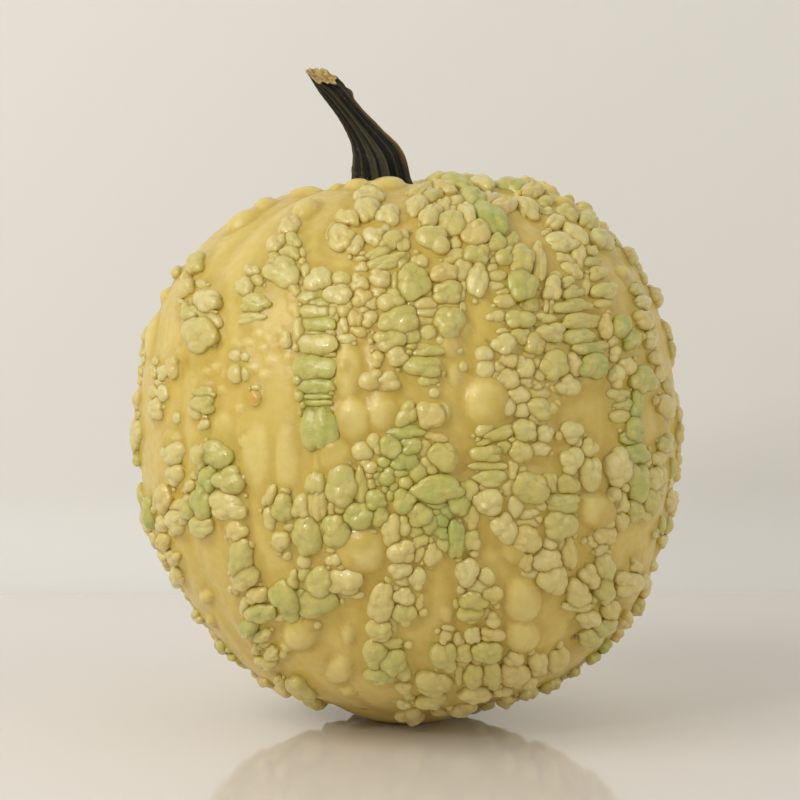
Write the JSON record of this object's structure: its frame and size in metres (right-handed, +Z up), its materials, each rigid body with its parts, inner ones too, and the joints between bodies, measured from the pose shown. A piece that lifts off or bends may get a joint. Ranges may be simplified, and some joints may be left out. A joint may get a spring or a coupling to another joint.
{
  "type": "winter squash",
  "caption": "Pale, densely warted winter squash with a bent, ridged, dry stem, standing on a small flat spot.",
  "frame": {"origin": "middle of the small flat spot that the fruit rests on", "axes": "+Z up through the fruit to the stem, -Y towards the front that the picture shows, +X to its right"},
  "size_m": [0.2692, 0.2697, 0.3195],
  "materials": {
    "rind": "waxy pale-yellow rind with cream and pale-green warts, soft sheen",
    "stem": "dry, dark, ridged and fibrous, with a tan corky cut"
  },
  "bodies": {
    "root": {"fruit": "rind", "stem": "stem"}
  },
  "joints": []
}
